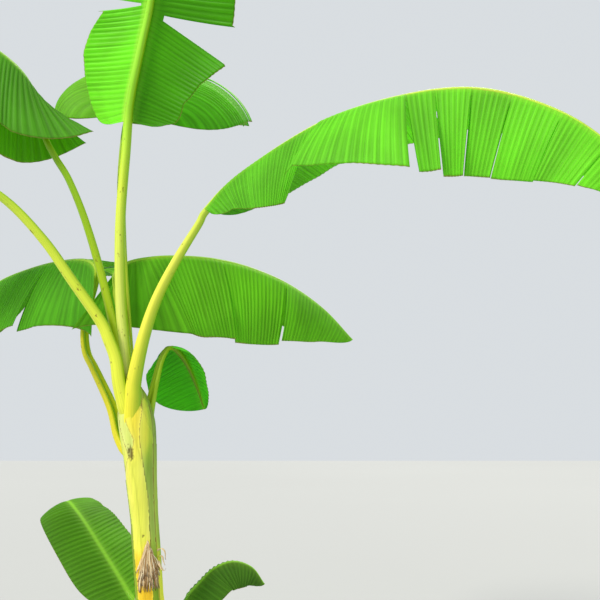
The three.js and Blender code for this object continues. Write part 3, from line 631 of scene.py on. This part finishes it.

# Leaf blades
# A blade is two thin halves hung on the midrib, pleated by veins that run straight from rib to margin.
# Wind tears it along the veins, so each half is a row of segments that hang at angles of their own.
#
# Pairs and lists of two give the half on the right of the bearing first, then the half on the left.
# Fold is how many degrees a half drops at the rib and bend how far it curls on, both from base to tip.
# Tears are shares of the rib. Slant leans the parts of each segment towards the tip, sag drops each segment
# by so many degrees, and spread is (share of the rib, width as a share of the usual outline) for a half.
# Corner puts the outer corner of the base (out, up, aside) of the neck, and hang 1 makes the drop plumb.
# Tints go from base to tip, and band is the strength of the pale band beside the rib. The halves' tints are
# partly painted light and shade: the centre leaf's much darker left half is painted shade, and the strong
# band on its right half is a painted highlight beside the rib as well as the leaf's own paler tissue.
BLADES = {
    "right": dict(
        half_width=345, split=True, fold=[[62, 72, 82, 80], [0, -5, -5, 10]],
        bend=[[20, 25, 20, 20], [15, 20, 30, 30]],
        tears=[[0.3, 0.475, 0.53, 0.6, 0.675, 0.77, 0.87], [0.34, 0.5, 0.74]],
        slant=[[(0, -0.35, -0.8), (-0.8, -0.2, 0.05), (0.1, 0.1), (0.1, 0.1), (0.1, 0.15), (0.15, 0.2),
                (0.2, 0.2), (0.2, 0.3)], [(0.2, 0.2)] * 4],
        spread=[[(0, 0.6), (0.05, 0.55), (0.15, 0.7), (0.299, 0.86), (0.301, 0.56), (0.38, 0.85),
                 (0.475, 1.12), (0.7, 1.12), (1, 1)], [(0, 1), (1, 1)]],
        sag=[[0, -18, -6, 0, 5, 0, -6, -10], [0, 4, -3, 5]],
        tints=[("#60c514", "#7beb24", "#82ef2a"), ("#52aa0b", "#93ff2a", "#a5ff3e")]),
    "left": dict(
        half_width=300, split=True, fold=[[35, 45], [35, 45]], bend=[[40, 50], [40, 50]],
        tears=[[0.28, 0.62], [0.4, 0.7]],
        tints=[("#559e08", "#62b80b", "#69b703"), ("#489906", "#64c911", "#64c911")]),
    "centre": dict(
        half_width=360, split=True, fold=[[-50, -20, 10], [-5, 10, 20]],
        bend=[[10, 20, 30], [16, 30, 30]], tears=[[0.32, 0.62], [0.3, 0.7]],
        slant=[[(-0.02, -0.26), (0, 0.04), (0.1, 0.2)], [(-0.2, -0.38), (0.03, 0.03), (0.1, 0.2)]],
        spread=[[(0, 0.9), (0.12, 0.85), (0.2, 0.84), (0.26, 0.75), (0.319, 0.58), (0.321, 0.8), (0.4, 1),
                 (1, 1)], [(0, 0.8), (0.12, 0.7), (0.2, 0.84), (0.299, 1.1), (0.301, 1), (1, 1)]],
        # Painted shade darkens the left half's tints, and the strong band on the right half is partly a
        # painted highlight.
        sag=[[0, 0, 0], [0, 0, 0]], band=(1, 0.15),
        tints=[("#93fe35", "#87f330", "#64d325"), ("#489b04", "#56b408", "#5db80d")]),
    "upper_left": dict(
        half_width=330, split=True, hang=1, corner=[(-180, -95, -115), (-245, -145, 85)],
        fold=[[58, 58, 40, 30, 30], [68, 70, 30, 20, 30]],
        bend=[[25, 25, 35, 40, 40], [25, 25, 40, 50, 60]], tears=[[0.44, 0.72], [0.28, 0.58]],
        slant=[[(-0.1, 0.1), (0.2, 0.2), (0.2, 0.3)], [(-0.15, -0.05), (0.15, 0.2), (0.2, 0.3)]],
        sag=[[0, 0, 4], [0, -10, 0]],
        spread=[[(0, 1.15), (0.2, 1.35), (0.44, 1.35), (1, 1)], [(0, 1.1), (0.28, 1.1), (1, 1)]],
        tints=[("#60b803", "#6dc506", "#64bd03"), ("#59b019", "#56b811", "#54b408")]),
    "low_left": dict(
        half_width=355, split=True, corner=[(-20, 65, -160), (-40, -315, 30)],
        fold=[[-10, -30, 10], [62, 62, 55]],
        bend=[[30, 20, 30], [22, 22, 30]], tears=[[0.5], [0.25, 0.64]], sag=[[0, 0], [2, 0, -5]],
        tints=[("#52a306", "#5dac08", "#52a306"), ("#5bc10e", "#64cd12", "#5bbd0b")]),
    "back_right": dict(
        half_width=350, split=True, corner=[(-150, -240, 80), (-50, 45, 90)],
        fold=[[68, 60, 55], [10, 10, 10]],
        bend=[[18, 30, 30], [30, 30, 30]], tears=[[0.4, 0.66], [0.5]], sag=[[0, 2, -4], [0, 0]],
        spread=[[(0, 1.2), (0.4, 1.15), (1, 1)], [(0, 1), (1, 1)]],
        tints=[("#69c108", "#77d60e", "#72c908"), ("#6dc108", "#77cd0b", "#6dc108")]),
    "low_right": dict(
        half_width=210, split=False, fold=[[10, 10], [10, 10]], bend=[[30, 30], [30, 30]],
        tears=[[], []], spread=[[(0, 0.6), (1, 0.5)], [(0, 0.9), (1, 1.2)]], band=(0.1, 0.1),
        tints=[("#5bda24", "#60e227", "#56d222"), ("#52c91f", "#56d222", "#4dc11c")]),
    "back": dict(
        half_width=540, split=True, hang=1, fold=[[-25, -15], [-25, -15]], bend=[[100, 80], [100, 80]],
        tears=[[0.2, 0.34, 0.5, 0.68], [0.26, 0.42, 0.6]], sag=[[0, 2, -1, 2, 0], [0, 3, -2, 0]],
        spread=[[(0, 1.12), (0.5, 1.12), (0.7, 1), (1, 0.9)], [(0, 1), (1, 1)]],
        tints=[("#64d20e", "#64d20e", "#60c90b"), ("#77c516", "#77c516", "#72c114")]),
}
USUAL_LEAN = 0.2
USUAL_BAND = (0.4, 0.4)
# Where along the rib the usual outline is widest, the two powers of its curve before that place and the two
# after it, and how far from the base a half still follows its corner.
WIDEST = 0.36
BASE_CURVE = (4, 0.35)
TIP_CURVE = (2.3, 0.75)
CORNER_END = 0.16
# A blade leaves its rib at this share of the rib's radius, which it reaches at this share of the half.
RIB_FLANK = 0.9
FLANK_END = 0.05
# A loose segment sags and bends by up to so many degrees, and is shorter by up to such a share.
LOOSE_SAG = 5
LOOSE_BEND = 8
LOOSE_SHORTENING = 0.06
# A tear starts at this share of the half. It opens by a share of the rib, and by more towards the margin,
# and what lies within this reach of it gives way.
TEAR_START = 0.14
TEAR_OPENINGS = (0.0004, 0.0007)
TEAR_REACH = 0.02
# Rows are this far apart, the last lies at this share of the rib, and none is closer to a tear than this.
BLADE_ROW = 5.25
LAST_ROW = 0.9995
ROW_CLEARANCE = 0.002
BLADE_COLUMNS = 28
# Below 1 this power crowds the columns towards the margin.
COLUMN_CROWDING = 0.9
BLADE_THICKNESS = 1.4
# Pleats are full from a sixth of the half outwards, and calm down to 0.6 of their depth at the margin.
PLEAT = 21
PLEAT_DEPTH = 2.4
PLEAT_RISE = 6
PLEAT_CALMING = (4, 3.4)
# The margin waves by up to so much, in waves of such a length, and each segment billows between its tears.
MARGIN_WAVE = 7
WAVE_LENGTH = 90
BILLOW = 6
# Repeats in a metre along and across the blade: veins about 6 mm apart, clouds of 200 and 330 mm.
LEAF_VEINS = (170, 1.2, 1)
LEAF_CLOUDS = (5, 3, 1)
UNDERSIDE_GREEN = "#a8f05c"
BAND_GREEN = "#c6fd55"
RIB_GREEN = "#a8ec3c"
DRY_RIM = "#b89a54"
GLOW_GREEN = "#a4f030"
BLADE_MARKS = ("margin", "from_rib", "half", "along", "loose")


def chance(a, b, c):
    """A number in -1..1 that is always the same for the same three, such as a leaf, a half and a segment."""
    x = math.sin(a * 12.9898 + b * 78.233 + c * 37.719) * 43758.5453
    return 2 * (x - math.floor(x)) - 1


def along(values, u):
    """Value at share u of a list whose values are spread evenly from 0 to 1."""
    last = len(values) - 1
    k = min(int(u * last), last - 1)
    return between(values[k], values[k + 1], u * last - k)


def segment_at(tears, home):
    """Number of the segment between the tears that a share lies in, and the shares of its two ends."""
    segment = sum(tear < home for tear in tears)
    ends = [0, *tears, 1]
    return segment, ends[segment], ends[segment + 1]


def outline(u):
    """Half width of a blade as a share of its widest: a blunt base and a tapering tip."""
    if u < WIDEST:
        return (1 - (1 - u / WIDEST) ** BASE_CURVE[0]) ** BASE_CURVE[1]
    return max(1 - ((u - WIDEST) / (1 - WIDEST)) ** TIP_CURVE[0], 0) ** TIP_CURVE[1]


def blade_corner(leaf, route, across_share, row):
    """A corner of a blade, at a signed share of its half width, in a row beside or between the tears.

    Its marks are the share of the half, metres from the rib, the half, the share of the rib and how loose
    its segment is.
    """
    share, turn = row
    side = -1 if across_share < 0 else 1
    half = 0 if side < 0 else 1
    t = abs(across_share)
    home = share + turn * TEAR_OPENINGS[0]
    tears = leaf["tears"][half]
    segment, begins, ends = segment_at(tears, home)
    loose = chance(leaf["bearing"], half, segment) if tears else 0
    sag = leaf["sag"][half][segment] if "sag" in leaf else LOOSE_SAG * loose
    u = home
    for tear in tears:
        opening = TEAR_OPENINGS[1] * max(t - TEAR_START, 0)
        u += math.copysign(opening * math.exp(-abs(home - tear) / TEAR_REACH), home - tear)
    u = min(max(u, 0), 1)
    on_route = between(route["neck"], 1, u)
    at, tangent, across, upper = frame_at(route, on_route)
    wide = through(leaf["spread"][half], home) if "spread" in leaf else 1
    reach = leaf["half_width"] * outline(u) * wide * t * (1 - LOOSE_SHORTENING * abs(loose))
    # The half drops as an arc, so its mean direction comes from the arc's start, middle and end.
    start = math.radians(along(leaf["fold"][half], u) + sag)
    end = start + math.radians(along(leaf["bend"][half], u) + LOOSE_BEND * loose) * t
    middle = (start + end) / 2
    level = (math.cos(start) + 4 * math.cos(middle) + math.cos(end)) / 6
    drop = (math.sin(start) + 4 * math.sin(middle) + math.sin(end)) / 6
    part = (home - begins) / (ends - begins)
    slant = along(leaf["slant"][half][segment], part) if "slant" in leaf else USUAL_LEAN
    above = upper.lerp(Vector((0, 0, 1)), leaf.get("hang", 0))
    offset = tangent * slant * reach + across * side * level * reach - above * drop * reach
    if "corner" in leaf:
        out, up, aside = leaf["corner"][half]
        base = route["out"] * out + route["aside"] * aside + Vector((0, 0, up))
        passed = at - frame_at(route, route["neck"])[0]
        offset = offset.lerp((base - passed) * t, 1 - smooth(0, CORNER_END, u))
    flank = RIB_FLANK * stalk_radius(leaf, route, on_route) * min(t / FLANK_END, 1)
    return (at + offset + across * side * flank) * MM, t, reach * MM, half, home, loose


def blade_relief(leaf, route, across_share, row):
    """Millimetres by which pleats, the wave of the margin and the billow of its segment lift a corner."""
    share, turn = row
    half = 0 if across_share < 0 else 1
    t = abs(across_share)
    from_base = share * route["rib_length"]
    segment, begins, ends = segment_at(leaf["tears"][half], share + turn * TEAR_OPENINGS[0])
    calmed = min(t * PLEAT_RISE, 1, PLEAT_CALMING[0] - PLEAT_CALMING[1] * t) * outline(share)
    pleat = PLEAT_DEPTH * math.sin(2 * math.pi * from_base / PLEAT) * calmed
    # Each half and segment reads the noise along a line of its own.
    own_line = half * 7.3 + segment * 3.1
    wave = MARGIN_WAVE * t ** 2 * noise.noise(Vector((from_base / WAVE_LENGTH, own_line, leaf["bearing"])))
    part = min(max((share - begins) / (ends - begins), 0), 1)
    return pleat + wave + BILLOW * math.sin(math.pi * part) * t


def blade_rows(leaf, route):
    """Rows of a blade from base to tip, as (share, turn); a tear is two rows, with turn -1 and 1."""
    tears = sorted(set(leaf["tears"][0] + leaf["tears"][1]))
    count = round(route["rib_length"] / BLADE_ROW)
    plain = [k / count for k in range(count)] + [LAST_ROW]
    rows = [(u, 0) for u in plain if all(abs(u - tear) > ROW_CLEARANCE for tear in tears)]
    rows += [(tear, turn) for tear in tears for turn in (-1, 1)]
    return sorted(rows, key=lambda row: row[0] + row[1] * TEAR_OPENINGS[0])


def blade_skin(name, leaf, under):
    """Banana leaf: a smooth cuticle over green tissue, with veins that run across it and let light through.

    Soft clouds vary its green, and painted shade darkens the grooves of the pleats and lightens their ridges.
    Painted light and shade also make each torn segment lighter or darker by chance, and the halves take tints
    of their own that are partly painted light and shade. A pale band lies beside the rib, and the very margin
    is dry.
    """
    material, tree, output = new_material(name)
    spot = add_node(tree, "ShaderNodeUVMap", uv_map="surface").outputs[0]
    marks = {mark: add_node(tree, "ShaderNodeAttribute", attribute_name=mark).outputs["Fac"]
             for mark in BLADE_MARKS}
    greens = [add_node(tree, "ShaderNodeValToRGB", {"Fac": marks["along"]},
                       stops=[(0.0, tints[0]), (1.0, tints[2]), (0.4, tints[1])]).outputs["Color"]
              for tints in leaf["tints"]]
    # The halves take tints of their own, which carry painted light and shade as well as their own green.
    green = add_node(tree, "ShaderNodeMix",
                     {"Factor": marks["half"], COLOUR_1: greens[0], COLOUR_2: greens[1]},
                     data_type="RGBA").outputs[MIXED]
    if under:
        green = add_node(tree, "ShaderNodeMix",
                         {"Factor": 0.12, COLOUR_1: green, COLOUR_2: linear(UNDERSIDE_GREEN)},
                         data_type="RGBA").outputs[MIXED]
    veins = add_node(tree, "ShaderNodeMapping", {"Vector": spot, "Scale": LEAF_VEINS})
    vein = add_node(tree, "ShaderNodeTexNoise", {"Vector": veins.outputs[0], "Scale": 1.0, "Detail": 2.0})
    # Painted shade: the green darkens in the grooves of the pleats and lightens on their ridges.
    lengthways = add_node(tree, "ShaderNodeSeparateXYZ", {"Vector": spot}).outputs["X"]
    pleat_angle = add_node(tree, "ShaderNodeMath", {0: lengthways, 1: 2 * math.pi / (PLEAT * MM)},
                           operation="MULTIPLY")
    pleat = add_node(tree, "ShaderNodeMath", {0: pleat_angle.outputs[0]}, operation="SINE")
    pleat_shade = add_node(tree, "ShaderNodeMapRange",
                     {"Value": pleat.outputs[0], "From Min": -1.0, "From Max": 0.2,
                      "To Min": 0.6 if under else 0.34, "To Max": 0.34 if under else 0.6})
    clouds = add_node(tree, "ShaderNodeMapping", {"Vector": spot, "Scale": LEAF_CLOUDS})
    cloud = add_node(tree, "ShaderNodeTexNoise", {"Vector": clouds.outputs[0], "Scale": 1.0, "Detail": 3.0})
    veins_and_pleat_shade = add_node(tree, "ShaderNodeMath", {0: vein.outputs["Fac"], 1: pleat_shade.outputs[0]},
                       operation="ADD")
    veins_clouds_and_pleat_shade = add_node(tree, "ShaderNodeMath", {0: veins_and_pleat_shade.outputs[0], 1: cloud.outputs["Fac"]},
                       operation="ADD")
    bright = add_node(tree, "ShaderNodeMapRange",
                      {"Value": veins_clouds_and_pleat_shade.outputs[0], "From Min": 1.15, "From Max": 1.75, "To Min": 0.66,
                       "To Max": 1.12})
    # Painted light and shade: each torn segment is made lighter or darker by its own chance.
    own_bright = add_node(tree, "ShaderNodeMath", {0: marks["loose"], 1: 0.09, 2: bright.outputs[0]},
                          operation="MULTIPLY_ADD")
    veined_and_shaded = add_node(tree, "ShaderNodeMix",
                      {"Factor": 1.0, COLOUR_1: green, COLOUR_2: own_bright.outputs[0]},
                      data_type="RGBA", blend_type="MULTIPLY")
    right_band, left_band = leaf.get("band", USUAL_BAND)
    band = add_node(tree, "ShaderNodeMapRange",
                    {"Value": marks["half"], "To Min": right_band, "To Max": left_band})
    near_rib = add_node(tree, "ShaderNodeMapRange", {"Value": marks["from_rib"], "From Min": 6 * MM,
                                                     "From Max": 30 * MM, "To Min": 1.0, "To Max": 0.0})
    pale = add_node(tree, "ShaderNodeMath", {0: near_rib.outputs[0], 1: band.outputs[0]},
                    operation="MULTIPLY")
    banded = add_node(tree, "ShaderNodeMix",
                      {"Factor": pale.outputs[0], COLOUR_1: veined_and_shaded.outputs[MIXED],
                       COLOUR_2: linear(BAND_GREEN)}, data_type="RGBA")
    over_rib = add_node(tree, "ShaderNodeMapRange", {"Value": marks["from_rib"], "From Min": 2 * MM,
                                                     "From Max": 8 * MM, "To Min": 0.75, "To Max": 0.0})
    ribbed = add_node(tree, "ShaderNodeMix",
                      {"Factor": over_rib.outputs[0], COLOUR_1: banded.outputs[MIXED],
                       COLOUR_2: linear(RIB_GREEN)}, data_type="RGBA")
    rim = add_node(tree, "ShaderNodeMath", {0: cloud.outputs["Fac"], 1: 0.05, 2: marks["margin"]},
                   operation="MULTIPLY_ADD")
    dry = add_node(tree, "ShaderNodeMapRange",
                   {"Value": rim.outputs[0], "From Min": 1.012, "From Max": 1.026, "To Min": 0.0,
                    "To Max": 0.8})
    edged = add_node(tree, "ShaderNodeMix",
                     {"Factor": dry.outputs[0], COLOUR_1: ribbed.outputs[MIXED], COLOUR_2: linear(DRY_RIM)},
                     data_type="RGBA")
    relief = add_node(tree, "ShaderNodeBump", {"Height": vein.outputs["Fac"], "Strength": 0.35,
                                              "Distance": 1.5 * MM})
    skin = add_node(tree, "ShaderNodeBsdfPrincipled",
                    {"Base Color": edged.outputs[MIXED], "Roughness": 0.55 if under else 0.42,
                     "Specular IOR Level": 0.18, "Normal": relief.outputs[0]})
    lit = add_node(tree, "ShaderNodeMix",
                   {"Factor": 0.5, COLOUR_1: edged.outputs[MIXED], COLOUR_2: linear(GLOW_GREEN)},
                   data_type="RGBA")
    glow = add_node(tree, "ShaderNodeBsdfTranslucent",
                    {"Color": lit.outputs[MIXED], "Normal": relief.outputs[0]})
    both = add_node(tree, "ShaderNodeMixShader", {0: 0.35, 1: skin.outputs[0], 2: glow.outputs[0]})
    tree.links.new(both.outputs[0], output.inputs["Surface"])
    return material


def make_blade(name, leaf, route):
    """One blade: laid as a grid, cut open at its tears, pleated along its veins and given its thickness."""
    shares = [(k / BLADE_COLUMNS) ** COLUMN_CROWDING for k in range(1, BLADE_COLUMNS + 1)]
    whole = min(range(BLADE_COLUMNS), key=lambda k: abs(shares[k] - TEAR_START))
    columns = [-t for t in reversed(shares)] + [0] + shares
    rows = blade_rows(leaf, route)
    form = laid_grid(columns, rows, lambda t, row: blade_corner(leaf, route, t, row),
                     lambda t, row: (row[0] * route["rib_length"] * MM, t * leaf["half_width"] * MM),
                     BLADE_MARKS)
    torn = []
    for face in form.faces:
        k, column = divmod(min(vert.index for vert in face.verts), len(columns))
        half = 0 if column < BLADE_COLUMNS else 1
        from_rib = min(abs(column - BLADE_COLUMNS), abs(column + 1 - BLADE_COLUMNS))
        share, turn = rows[k]
        if turn == -1 and share in leaf["tears"][half] and from_rib > whole:
            torn.append(face)
    form.normal_update()
    for vert in form.verts:
        k, column = divmod(vert.index, len(columns))
        vert.co += vert.normal * blade_relief(leaf, route, columns[column], rows[k]) * MM
    bmesh.ops.delete(form, geom=torn, context="FACES")
    bmesh.ops.remove_doubles(form, verts=form.verts, dist=WELD_WITHIN * MM)
    plain = name.replace("_", " ")
    top = blade_skin(f"glossy upper leaf skin, {plain}", leaf, False)
    underside = blade_skin(f"matt under leaf skin, {plain}", leaf, True)
    parts = ["inner", "outer"] if leaf["split"] else ["whole"]
    nodes = [f"blade_{name}_{part}" for part in parts]
    piece = make_piece(f"leaf_{name}", form, [top, underside], nodes)
    shell = piece.modifiers.new("thickness", "SOLIDIFY")
    shell.thickness = BLADE_THICKNESS * MM
    shell.offset = 0
    shell.material_offset = 1


for blade_name, blade in BLADES.items():
    make_blade(blade_name, {**STALKS[blade_name], **blade}, routes[blade_name])

# Dry remnant
# The sheath of a leaf that was cut away long ago has dried and split into straw-coloured fibres.
# The bunch is still held at its top, fans out down the front of the trunk and ends in a ragged fringe.
#
# The top is held at a bearing and a height, the fan is the bearings of its two sides, and the ends are the
# heights between which the fibres break off.
REMNANT_TOP = (-72, 1096)
REMNANT_TOP_SPREAD = 16
REMNANT_FAN = (-126, -32)
REMNANT_ENDS = (905, 985)
REMNANT_FIBRES = 120
FIBRE_STEPS = 18
FIBRE_WIDTH = 4.5
FIBRE_THICKNESS = 0.6
# Fibres lie this far off the trunk, in layers over so much, and loose ones stand off more at their ends.
FIBRE_CLEARANCE = 2
FIBRE_LAYERS = 5
LOOSE_END = 7
# Outer fibres start lower, each a little by chance, and those at the right break off higher.
OUTER_START = 60
CHANCE_START = 14
RIGHT_END = 30
# Degrees by which a fibre's end strays from its place in the fan, and by which it wanders on its way.
FIBRE_STRAY = 7
FIBRE_WANDER = 5
# Curled bits that stand off at the right: bearing and height of the foot, length and width.
REMNANT_CURLS = [(-24, 1050, 80, 15), (-20, 1030, 62, 12), (-34, 1015, 70, 13), (-18, 995, 58, 11)]
# Radians by which a curl rolls from foot to tip, and by which each one's roll starts later than the last.
CURL_ROLL = 2.4
CURL_START = 0.7
CURL_SHADE = 0.75
TIP_BROWN = "#4e3018"


def dry_sheath():
    """Dried leaf sheath: straw-coloured fibres, bleached by the weather and brown at their broken tips."""
    material, tree, output = new_material("dried sheath fibres")
    shade = add_node(tree, "ShaderNodeAttribute", attribute_name="shade").outputs["Fac"]
    down = add_node(tree, "ShaderNodeAttribute", attribute_name="down").outputs["Fac"]
    hue = add_node(tree, "ShaderNodeValToRGB", {"Fac": shade},
                   stops=[(0.0, "#8c683c"), (1.0, "#f4e4c0"), (0.35, "#c8a26c"), (0.7, "#e4c898")])
    tip = add_node(tree, "ShaderNodeMapRange", {"Value": down, "From Min": 0.86, "From Max": 1.0,
                                                "To Min": 0.0, "To Max": 0.75})
    browned = add_node(tree, "ShaderNodeMix",
                       {"Factor": tip.outputs[0], COLOUR_1: hue.outputs["Color"],
                        COLOUR_2: linear(TIP_BROWN)}, data_type="RGBA")
    paper = add_node(tree, "ShaderNodeBsdfPrincipled",
                     {"Base Color": browned.outputs[MIXED], "Roughness": 0.85})
    tree.links.new(paper.outputs[0], output.inputs["Surface"])
    return material


def add_ribbon(bm, middles, asides, widths, shade):
    """One flat fibre through its middle points, widened to both sides, with its shade from dark to pale."""
    rows = []
    for k, (middle, aside, width) in enumerate(zip(middles, asides, widths)):
        pair = [bm.verts.new((middle + aside * side * width / 2) * MM) for side in (-1, 1)]
        for vert in pair:
            vert[bm.verts.layers.float["shade"]] = shade
            vert[bm.verts.layers.float["down"]] = k / (len(middles) - 1)
        rows.append(pair)
    for (a, b), (d, c) in zip(rows, rows[1:]):
        bm.faces.new((a, b, c, d)).smooth = True


remnant_form = bmesh.new()
remnant_form.verts.layers.float.new("shade")
remnant_form.verts.layers.float.new("down")
# Each fibre's own luck and twist vary where it starts, wanders, breaks off and turns its edge.
for fibre in range(REMNANT_FIBRES):
    place = (fibre + 0.5) / REMNANT_FIBRES
    luck = chance(fibre, 1, 2)
    twist = chance(fibre, 5, 3)
    layer = FIBRE_CLEARANCE + FIBRE_LAYERS * (fibre * 7 % 10) / 10
    start_turn = REMNANT_TOP[0] + REMNANT_TOP_SPREAD * (place - 0.5)
    end_turn = between(*REMNANT_FAN, place) + FIBRE_STRAY * twist
    start_z = REMNANT_TOP[1] - OUTER_START * abs(place - 0.5) - CHANCE_START * abs(luck)
    end_z = between(*REMNANT_ENDS, 0.5 + 0.5 * luck) + RIGHT_END * max(place - 0.6, 0)
    middles, asides, widths = [], [], []
    for k in range(FIBRE_STEPS + 1):
        share = k / FIBRE_STEPS
        z = between(start_z, end_z, share)
        wander = FIBRE_WANDER * noise.noise(Vector((fibre * 1.7, share * 3, 0)))
        turn = math.radians(between(start_turn, end_turn, share ** 0.8) + wander)
        reach = soft_radius(TRUNK_RINGS, z) + layer + LOOSE_END * max(luck, 0) * share ** 3
        outward = Vector((math.cos(turn), math.sin(turn), 0))
        middles.append(trunk_middle(z) + outward * reach)
        asides.append((Vector((-outward.y, outward.x, 0)) + outward * 0.4 * twist).normalized())
        widths.append(FIBRE_WIDTH * (0.6 + 0.4 * abs(twist)) * (1 - 0.6 * abs(share - 0.4) ** 1.5))
    add_ribbon(remnant_form, middles, asides, widths, 0.5 + 0.5 * chance(fibre, 8, 8))
# A curl stands off the trunk and rolls as it goes.
for curl, (bearing, foot_z, length, width) in enumerate(REMNANT_CURLS):
    turn = math.radians(bearing)
    outward = Vector((math.cos(turn), math.sin(turn), 0))
    sideways = Vector((-outward.y, outward.x, 0))
    middles, asides, widths = [], [], []
    for k in range(FIBRE_STEPS + 1):
        share = k / FIBRE_STEPS
        bend = CURL_ROLL * share + CURL_START * curl
        reach = soft_radius(TRUNK_RINGS, foot_z) + length * 0.55 * math.sin(min(bend, 2.2)) * share
        rise = Vector((0, 0, length * 0.5 * math.cos(bend) * share))
        middles.append(trunk_middle(foot_z) + outward * reach + rise)
        asides.append((sideways + outward * 0.5 * math.sin(4 * share)).normalized())
        widths.append(width * (1 - 0.7 * share))
    add_ribbon(remnant_form, middles, asides, widths, CURL_SHADE)
bmesh.ops.recalc_face_normals(remnant_form, faces=remnant_form.faces)
remnant = make_piece("dry_remnant", remnant_form, [dry_sheath()], ["remnant"])
remnant_shell = remnant.modifiers.new("thickness", "SOLIDIFY")
remnant_shell.thickness = FIBRE_THICKNESS * MM
remnant_shell.offset = 0

# Sucker
# A young plant that has come up from the same root behind the trunk, with two leaves open.
# It is built as the big plant is: a slim sheathed stem, channelled stalks and pleated blades.
#
# Its rings and routes count from its root.
SUCKER_ROOT = Vector((-20, 150, 0))
SUCKER_RINGS = [(0, 38), (120, 33), (300, 28), (450, 24), (560, 18)]
SUCKER_SIDES = 48
SUCKER_STEPS = 90
# One sheath winds round the stem. Its edge stands this high, rises over this share of a turn, and comes round
# again once in this height.
WRAP_LIFT = 1.5
WRAP_EDGE = 0.05
WRAP_HEIGHT = 700
# The sheath's tone and its distance from the edge grow from the first value to the second over the turn.
SUCKER_TONES = (0.12, 0.22)
SUCKER_RIMS = (3, 63)
SUCKER_BLOOM = 0.2
SUCKER_STALKS = {
    "sucker_left": dict(
        bearing=150, radius=(16, 9), tints=("#9cc43c", "#88c830", "#6cc41c"),
        stalk=[(5, 470), (30, 600), (95, 720), (210, 810)],
        rib=[(300, 895), (420, 1005), (520, 1095), (610, 1150, -15), (700, 1170, -55), (790, 1150, -110),
             (870, 1090, -170)]),
    "sucker_right": dict(
        bearing=20, radius=(14, 8), tints=("#9cc43c", "#7cb430", "#5ca028"),
        stalk=[(0, 470), (10, 620), (25, 740), (50, 830)],
        rib=[(110, 895), (170, 945), (250, 965), (330, 935), (385, 865)]),
}
SUCKER_BLADES = {
    "sucker_left": dict(
        half_width=165, split=False, fold=[[-25, -10], [22, 5]], bend=[[10, 30], [30, 50]],
        tears=[[], []],
        band=(0.1, 0.1), tints=[("#64ac0b", "#62a80a", "#5d9f0b"), ("#569708", "#529307", "#4d8e07")]),
    "sucker_right": dict(
        half_width=120, split=False, fold=[[40, 40], [5, 5]], bend=[[30, 50], [30, 50]],
        tears=[[], []],
        band=(0.1, 0.1), tints=[("#3f750b", "#3a6d0b", "#366406"), ("#3f750b", "#3a6d0b", "#366406")]),
}


def sucker_corner(turn, z):
    """A corner of the sucker's stem at a bearing and a height, with the trunk's marks."""
    angle = math.radians(turn)
    wrap = (turn / 360 + z / WRAP_HEIGHT) % 1
    reach = soft_radius(SUCKER_RINGS, z) + WRAP_LIFT * smooth(0, WRAP_EDGE, wrap)
    corner = SUCKER_ROOT + Vector((math.cos(angle) * reach, math.sin(angle) * reach, z))
    return corner * MM, between(*SUCKER_TONES, wrap), SUCKER_BLOOM, between(*SUCKER_RIMS, wrap), 0


sucker_top = SUCKER_RINGS[-1][0]
sucker_form = laid_grid([360 * k / SUCKER_SIDES for k in range(SUCKER_SIDES + 1)],
                        [sucker_top * k / SUCKER_STEPS for k in range(SUCKER_STEPS + 1)],
                        sucker_corner, lambda turn, z: (turn / 360, z * MM), TRUNK_MARKS)
close_tube(sucker_form)
make_piece("sheathed_sucker", sucker_form, [living_sheath], ["sucker_stem"])

for sucker_name, stalk in SUCKER_STALKS.items():
    route = route_of(stalk, SUCKER_ROOT)
    make_stalk(sucker_name, stalk, route)
    make_blade(sucker_name, {**stalk, **SUCKER_BLADES[sucker_name]}, route)
